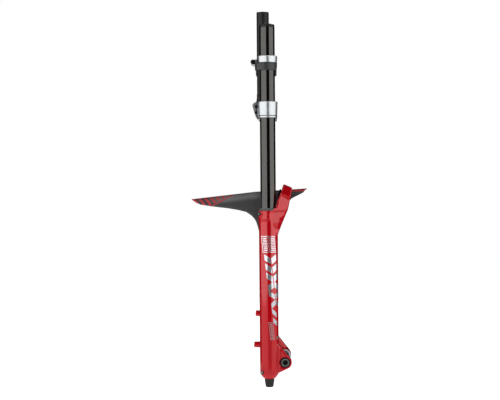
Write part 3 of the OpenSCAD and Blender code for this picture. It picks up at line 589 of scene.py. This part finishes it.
def fender_shell():
    """One curved sheet, narrowing to both ends, given a thickness and softened."""
    # x against the height of the lower edge, then x against the half width
    low_line = ((-168.5, 367.4), (-157, 363.7), (-146, 359), (-120, 354.6), (-83, 350),
                (-57.5, 345.4), (-41, 341), (-33.5, 336), (-28, 332), (-23.6, 327),
                (-20.4, 322.5), (-18, 318), (-15, 309), (-12, 297), (-8, 291), (2, 290),
                (12, 296), (24, 312), (36, 334), (48, 354), (64, 372), (74, 377), (84, 382),
                (91, 386), (99.5, 391.6))
    plan_line = ((-168.5, 0.5), (-167.6, 9), (-164, 17), (-157, 25), (-146, 33), (-120, 43),
                 (-83, 51), (-57, 54), (60, 54), (75, 43), (90, 26), (97, 13), (99.5, 0.5))
    stations = np.concatenate([np.linspace(-168.4, -158, 9), np.linspace(-155, -35, 41),
                               np.linspace(-33, 2, 36), np.linspace(4, 84, 41),
                               np.linspace(86, 99.4, 14)])
    columns = 48
    points, faces = [], []
    for x in stations:
        top = crest(x)
        low = np.interp(x, *zip(*low_line))
        reach = min((max(top - low, 0.2) / FENDER_DROP) ** (1 / FENDER_POWER),
                    np.interp(x, *zip(*plan_line)) / FENDER_HALF, 1.0)
        for j in range(columns + 1):
            g = reach * (2 * j / columns - 1)
            drop = FENDER_DROP * abs(g) ** FENDER_POWER
            points.append((x, FENDER_HALF * g, top - drop + AXLE_Z))
    for i in range(len(stations) - 1):
        for j in range(columns):
            a = i * (columns + 1) + j
            faces.append((a, a + columns + 1, a + columns + 2, a + 1))
    shell = mesh_piece("fender_shell", points, faces)
    thick = shell.modifiers.new("thick", "SOLIDIFY")
    thick.thickness = FENDER_THICK * MM
    thick.offset = -1
    round_edge = shell.modifiers.new("round_edge", "BEVEL")
    round_edge.width = 0.5 * MM
    round_edge.segments = 2
    round_edge.limit_method = "ANGLE"
    round_edge.angle_limit = math.radians(50)
    bake(shell)
    return shell


def saddle_plate():
    """Plate on the rear face of the arch that the fender is bolted by."""
    slope = math.atan2(399.0 - 374.2, 42.2 - 32.5)
    along = Vector((math.cos(slope), 0, math.sin(slope)))
    out = Vector((-math.sin(slope), 0, math.cos(slope)))
    outline = [(-40, 2), (-38, 0), (-22, 0), (-17, 5), (17, 5), (22, 0), (38, 0), (40, 2),
               (40, 15), (36, 19), (-36, 19), (-40, 15)]
    low = Vector((32.6, 0, 374.4))
    verts = []
    for lift in (0.1, 2.4):
        for y, run in outline:
            p = low + along * run + out * lift
            verts.append(at_axle(p.x, y, p.z))
    n = len(outline)
    faces = [tuple(range(n))[::-1], tuple(range(n, 2 * n))]
    faces += [(i, (i + 1) % n, n + (i + 1) % n, n + i) for i in range(n)]
    plate = mesh_piece("fender_saddle", verts, faces)
    edge = plate.modifiers.new("edge", "BEVEL")
    edge.width = 0.5 * MM
    edge.segments = 2
    bake(plate)
    shade_smooth(plate, 40)
    return plate


shell = fender_shell()
shade_smooth(shell, 50)
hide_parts("fender")
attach(shell, "lowers")
dress(shell, fender_material())
saddle = saddle_plate()
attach(saddle, "lowers")
dress(saddle, MATS["black_plastic"])


# ---------- Foil graphics on the legs, generic bars and chevrons ----------

def wrapped(name, shapes, mat, lift=0.14):
    """Flat outlines (length round the leg forward of its outer side, height above the axle)
    laid on both legs as one thin piece."""
    bm = bmesh.new()
    for side in SIDES:
        part = bmesh.new()
        for outline in shapes:
            part.faces.new([part.verts.new((s * MM, 0, za * MM)) for s, za in outline])
        for step in range(-22, 23):
            bmesh.ops.bisect_plane(part, geom=part.verts[:] + part.edges[:] + part.faces[:],
                                   plane_co=(step * 1.6 * MM, 0, 0), plane_no=(1, 0, 0))
        reach = (LEG_R + lift) * MM
        for v in part.verts:
            turn = v.co.x / (LEG_R * MM)
            v.co = (LEG_X * MM + reach * math.sin(turn),
                    side * (LEG_Y * MM + reach * math.cos(turn)), v.co.z + AXLE_Z * MM)
        for face in part.faces:
            face.normal_update()
            outward = face.calc_center_median() - Vector((LEG_X, side * LEG_Y, 0)) * MM
            outward.z = 0
            if face.normal.dot(outward) < 0:
                face.normal_flip()
        mesh = bpy.data.meshes.new("part")
        part.to_mesh(mesh)
        part.free()
        bm.from_mesh(mesh)
        bpy.data.meshes.remove(mesh)
    mesh = bpy.data.meshes.new(name)
    bm.to_mesh(mesh)
    bm.free()
    piece = add_object(name, mesh)
    thick = piece.modifiers.new("thick", "SOLIDIFY")
    thick.thickness = 0.1 * MM
    thick.offset = -1
    bake(piece)
    shade_smooth(piece, 30)
    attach(piece, "lowers")
    dress(piece, mat)
    return piece


def lean(za, top, per_mm=0.12):
    return (top - za) * per_mm


def bar(left, right, high, low, top, drop=0.0):
    """Slanted bar; drop lowers its right end."""
    return [(left + lean(low, top), low), (right + lean(low - drop, top), low - drop),
            (right + lean(high - drop, top), high - drop), (left + lean(high, top), high)]


badge = []
for left, right in ((-18.5, -1.2), (0.6, 14.4)):
    for high in (287.0, 267.5):
        foot = high - 18.0
        badge += [bar(left, right, high, high - 1.6, 287), bar(left, right, foot + 1.6, foot, 287),
                  bar(left, left + 1.6, high - 1.6, foot + 1.6, 287),
                  bar(right - 1.6, right, high - 1.6, foot + 1.6, 287)]
        middle = (left + right) / 2
        for level in (high - 4.0, high - 8.0, high - 12.0):
            badge.append(bar(middle - 4.6, middle + 4.6, level, level - 2.3, 287))
wrapped("badge_foil", badge, MATS["foil"])

graphic = []
for row in range(8):
    high = 246.0 - 20.5 * row
    centre = 3.6
    half = 14.5 if row < 5 else 12.0
    drop = -9.0 if row in (3, 5) else 9.0
    thick = 14.0 if row < 4 else 11.5
    start = high if drop > 0 else high - 9.0
    graphic.append(bar(centre - half, centre - 1.0, start, start - thick, 248, drop))
    if row < 6:
        graphic.append(bar(centre + 1.0, centre + half, start - drop, start - drop - thick, 248,
                           -drop))
wrapped("graphic_foil", graphic, MATS["foil"])

mark = [bar(-1.5, 9.0, 92.0, 90.9, 92, 0), bar(-1.5, 9.0, 54.0, 52.9, 92, 0),
        bar(-1.5, -0.4, 90.9, 54.0, 92), bar(7.9, 9.0, 90.9, 54.0, 92)]
mark += [bar(1.2, 6.4, 88.5 - 5.0 * i, 85.8 - 5.0 * i, 92) for i in range(7)]
wrapped("size_mark", mark, MATS["grey_print"])
wrapped("corner_mark", [bar(19.0, 26.0, 60.0, 53.0, 60)], MATS["foil"])


# ---------- Bearing faces of the hub seats ----------

def hub_faces(name, inner, outer, thick):
    """Thin turned ring on the inner face of each dropout."""
    bm = bmesh.new()
    for side in SIDES:
        def place(radius, level, turn):
            return Vector(at_axle(AXLE_X + radius * math.cos(turn), side * (HUB_FACE_Y - level),
                                  radius * math.sin(turn))) * MM

        turned_ring(bm, place, ((inner, 0), (inner, thick), (outer - 0.3, thick),
                                (outer, thick - 0.2), (outer, 0)), 72)
    bmesh.ops.recalc_face_normals(bm, faces=bm.faces)
    mesh = bpy.data.meshes.new(name)
    bm.to_mesh(mesh)
    bm.free()
    piece = add_object(name, mesh)
    shade_smooth(piece, 40)
    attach(piece, "lowers")
    return piece


dress(hub_faces("hub_seat_faces", 10.3, 13.6, 0.4), MATS["hub_face"])


# ---------- Finishes of the pieces kept as they are ----------

KEPT = {
    "stanchion": ["stanchion_right", "stanchion_left"],
    "steerer": ["steerer_tube"],
    "black_hardware": ["lower_crown_bolts", "upper_crown_bolts", "steerer_pinch_bolt",
                       "fender_bolts", "hose_guide_bolt", "axle"],
    "port_screw": ["leg_port_screw"],
    "axle_insert": ["axle_insert"],
    "cap_alloy": ["damper_top_cap", "air_top_cap", "high_speed_dial"],
    "knob": ["rebound_knob"],
    "steel_hardware": ["valve_core_pin", "foot_bolt_right", "foot_bolt_left"],
    "bare_alloy": ["damper_cartridge", "damper_seal_head", "air_seal_head", "crush_washers",
                   "air_valve_stem", "damper_shaft", "air_shaft"],
    "brass_alloy": ["compression_valve"],
    "rubber": ["dust_wiper_right", "dust_wiper_left"],
    "bumper_rubber": ["frame_bumper_right", "frame_bumper_left", "top_out_bumpers",
                      "bottom_out_bumpers", "expansion_bladder"],
    "black_alloy": ["rebound_piston", "air_piston", "relief_valve_housings"],
    "black_plastic": ["hose_guide", "valve_cap"],
    "foam": ["foam_rings"],
    "bushing": ["upper_bushings", "lower_bushings"],
    "spacer_plastic": ["volume_spacers"],
    "grey_alloy": ["low_speed_dial", "low_speed_rod", "rebound_needle"],
    "button": ["relief_button_right", "relief_button_left"],
}
for finish_name, names in KEPT.items():
    for node in names:
        dress(nodes[node], MATS[finish_name])
# The nodes replaced by recast pieces aren't drawn; they get a finish all the same
for node in ("fender", "lower_legs", "lower_crown", "upper_crown"):
    dress(nodes[node], MATS["black_plastic"])


# ---------- Studio ----------

def area_light(name, width, height, radiance, glossy, diffuse):
    lamp = bpy.data.lights.new(name, "AREA")
    lamp.shape = "RECTANGLE"
    lamp.size = width
    lamp.size_y = height
    lamp.energy = radiance * math.pi * width * height
    holder = bpy.data.objects.new(name, lamp)
    holder.visible_camera = False
    holder.visible_glossy = glossy
    holder.visible_diffuse = diffuse
    bpy.context.scene.collection.objects.link(holder)
    return holder


def softbox(name, start, end, radius, height, z, radiance, glossy=True, diffuse=True):
    """A light wall between two azimuths, in degrees from the camera side toward +X; metres."""
    ends = [Vector((math.sin(math.radians(a)), -math.cos(math.radians(a)), 0)) * radius
            for a in (start, end)]
    centre = (ends[0] + ends[1]) / 2
    holder = area_light(name, (ends[1] - ends[0]).length, height, radiance, glossy, diffuse)
    holder.location = (centre.x, centre.y, z)
    inward = Vector((-centre.x, -centre.y, 0))
    holder.rotation_euler = inward.to_track_quat("-Z", "Y").to_euler()
    return holder


def ceiling(name, size, z, radiance, glossy, diffuse):
    """A square light above the object facing down, or below it facing up; metres."""
    holder = area_light(name, size, size, radiance, glossy, diffuse)
    holder.location = (0, 0, z)
    holder.rotation_euler = (0 if z > 0 else math.pi, 0, 0)
    return holder


softbox("wall_left", -102, -14, 2.2, 2.3, 0.55, 1.15)
softbox("wall_left_low", -102, -14, 2.2, 1.3, -1.25, 0.47)
softbox("wall_right", 30, 101, 2.2, 2.3, 0.55, 1.15)
softbox("wall_right_low", 30, 101, 2.2, 1.3, -1.25, 0.47)
softbox("fill_back", 150, 210, 2.6, 2.4, 0.1, 0.7, glossy=False)
softbox("gap_low", -14, 30, 2.2, 1.16, -1.32, 0.16, diffuse=False)

# These light the polished crowns only
polished = bpy.data.collections.new("polished")
for piece in crowns:
    polished.objects.link(piece)
crown_lights = [softbox("crown_card_%d" % end, start, end, 2.2, 2.3, 0.55, radiance)
                for start, end, radiance in ((-14, -7, 1.15), (18, 30, 1.15), (104, 128, 0.3))]
crown_lights.append(ceiling("crown_sky", 5.0, 1.7, 0.5, True, False))
crown_lights.append(ceiling("crown_ground", 5.0, -1.3, 0.3, True, False))
for holder in crown_lights:
    holder.light_linking.receiver_collection = polished

world = bpy.data.worlds.new("studio")
bpy.context.scene.world = world
world.use_nodes = True
tree = world.node_tree
back = tree.nodes["Background"]
path = tree.nodes.new("ShaderNodeLightPath")
blend = tree.nodes.new("ShaderNodeMix")
blend.data_type = "RGBA"
tree.links.new(path.outputs["Is Camera Ray"], blend.inputs[0])
blend.inputs[6].default_value = (0.013, 0.0135, 0.0145, 1)
blend.inputs[7].default_value = (1, 1, 1, 1)
tree.links.new(blend.outputs[2], back.inputs["Color"])

ceiling("overhead", 2.4, 2.6, 0.35, True, False)
ceiling("overhead_soft", 2.4, 2.6, 0.9, False, True)

edge = 6000
floor = mesh_piece("floor", [(-edge, -edge, FLOOR_Z), (edge, -edge, FLOOR_Z),
                             (edge, edge, FLOOR_Z), (-edge, edge, FLOOR_Z)], [(0, 1, 2, 3)])
s = Shader("pale_floor")
grain = s.noise(8.0, 3.0)
s.set(Base_Color=s.mix(grain, (0.80, 0.80, 0.80), (0.84, 0.84, 0.84)), Roughness=0.8)
s.set(Emission_Color=(1, 1, 1, 1), Emission_Strength=1.0)
s.bump(grain, 0.05)
floor.data.materials.append(s.mat)
floor.visible_glossy = False

# The part of the floor near the feet, as the glossy pieces see it
spots = np.linspace(0, 2 * math.pi, 48, endpoint=False)
near_floor = mesh_piece("near_floor", [(450 * math.cos(a), 450 * math.sin(a), FLOOR_Z + 0.5)
                                       for a in spots], [tuple(range(len(spots)))])
s = Shader("near_floor_glow")
glow = s.noise(8.0, 3.0)
s.set(Base_Color=s.mix(glow, (0.0, 0.0, 0.0), (0.01, 0.01, 0.01)), Roughness=1.0,
      Specular_IOR_Level=0.0, Emission_Color=(1, 1, 1, 1), Emission_Strength=0.4)
near_floor.data.materials.append(s.mat)
near_floor.visible_camera = False
near_floor.visible_diffuse = False
near_floor.visible_shadow = False

# ---------- Camera ----------

camera_data = bpy.data.cameras.new("camera")
camera = bpy.data.objects.new("camera", camera_data)
bpy.context.scene.collection.objects.link(camera)
bpy.context.scene.camera = camera
camera_data.sensor_width = 36.0
camera_data.lens = 96.84
camera_data.clip_end = 50.0
ahead = Vector((-math.tan(math.radians(1.107)), 1, -math.tan(math.radians(0.426)))).normalized()
ahead_turn = ahead.to_track_quat("-Z", "Y").to_matrix()
roll = Matrix.Rotation(math.radians(-0.45), 3, "Z")
camera.matrix_world = (Matrix.Translation((0.0277, -3.126, -0.211))
                       @ (ahead_turn @ roll).to_4x4())
camera_data.dof.use_dof = False

bpy.context.scene.view_settings.view_transform = "Standard"
bpy.context.scene.view_settings.look = "None"
